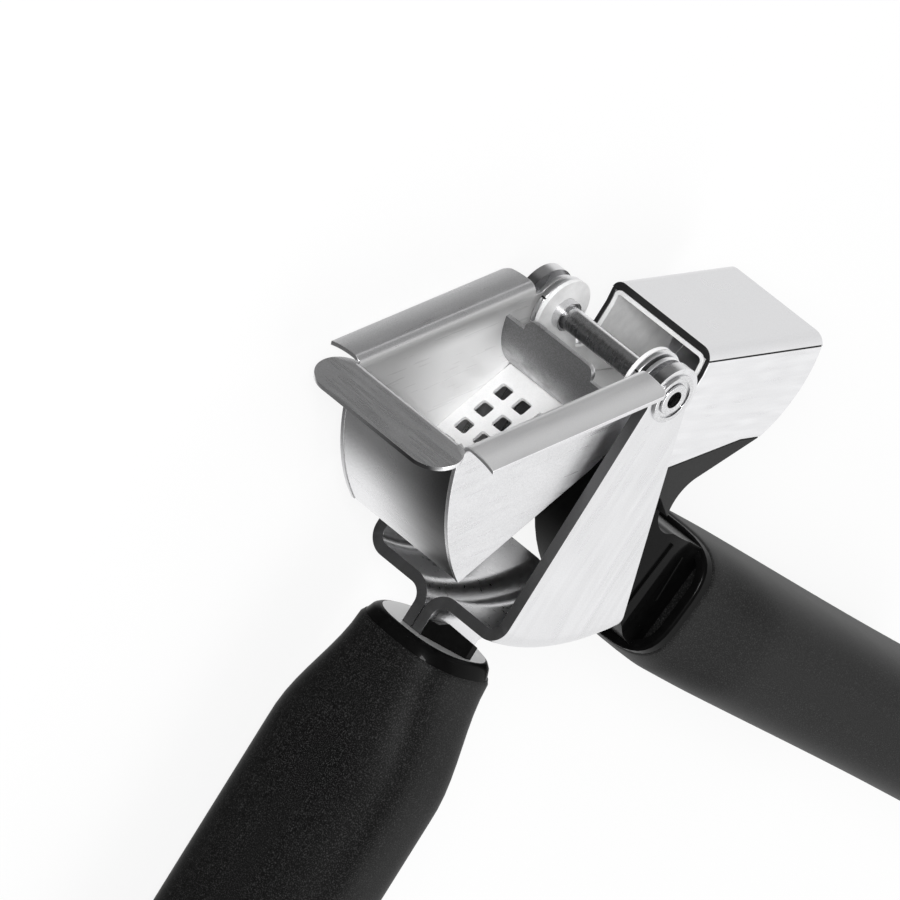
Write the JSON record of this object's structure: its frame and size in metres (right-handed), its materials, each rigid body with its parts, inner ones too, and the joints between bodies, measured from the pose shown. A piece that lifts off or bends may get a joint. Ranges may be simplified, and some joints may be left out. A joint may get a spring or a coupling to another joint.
{
  "type": "garlic press",
  "caption": "Hand press for garlic: a perforated steel hopper swings out of a strap frame, and a plunger on the upper handle squeezes into it.",
  "frame": {"origin": "on the hinge axis, at the middle plane of the press", "axes": "+Z along the hinge axis and up, as the press lies on its side; +X along the lower handle, away from the hinge; +Y towards the sieve's outlet side of the frame"},
  "size_m": [0.1996, 0.2292, 0.0396],
  "materials": {
    "strap_steel": "satin polished steel strap, edges dark and brushed",
    "hopper_steel": "bright rolled stainless sheet",
    "plunger_steel": "bright satin stainless sheet",
    "rivet_steel": "bright turned and rolled steel",
    "gloss_black": "glossy black nylon",
    "matt_black": "fine matt dark grey nylon",
    "soft_grip": "matt black soft-touch rubber with a fine grain"
  },
  "bodies": {
    "frame_and_lower_handle": {"cradle_near_half": "strap_steel", "cradle_far_half": "strap_steel", "lower_handle_core": "gloss_black", "lower_handle_grip": "soft_grip", "pivot_rivet": "rivet_steel", "washer_near": "rivet_steel", "washer_far": "rivet_steel"},
    "hopper": {"hopper_near_side": "hopper_steel", "hopper_far_side": "hopper_steel", "hopper_front_wall": "hopper_steel", "hopper_back_wall": "hopper_steel", "sieve_plate": "hopper_steel"},
    "plunger_and_upper_handle": {"plunger_face": "plunger_steel", "plunger_shell": "plunger_steel", "plunger_liner": "plunger_steel", "plunger_cover": "matt_black", "upper_handle_tang": "strap_steel", "upper_handle_core": "gloss_black", "upper_handle_grip": "soft_grip", "arm_bush_near": "rivet_steel", "arm_bush_far": "rivet_steel"}
  },
  "joints": [
    {"name": "hopper_swing", "type": "hinge", "parent": "frame_and_lower_handle", "child": "hopper", "pos_m": [0, 0, 0], "axis": [0, 0, 1], "range_deg": [0, 59.9]},
    {"name": "handle_swing", "type": "hinge", "parent": "hopper", "child": "plunger_and_upper_handle", "pos_m": [0, 0, 0], "axis": [0, 0, 1], "range_deg": [0, 220.6]}
  ]
}
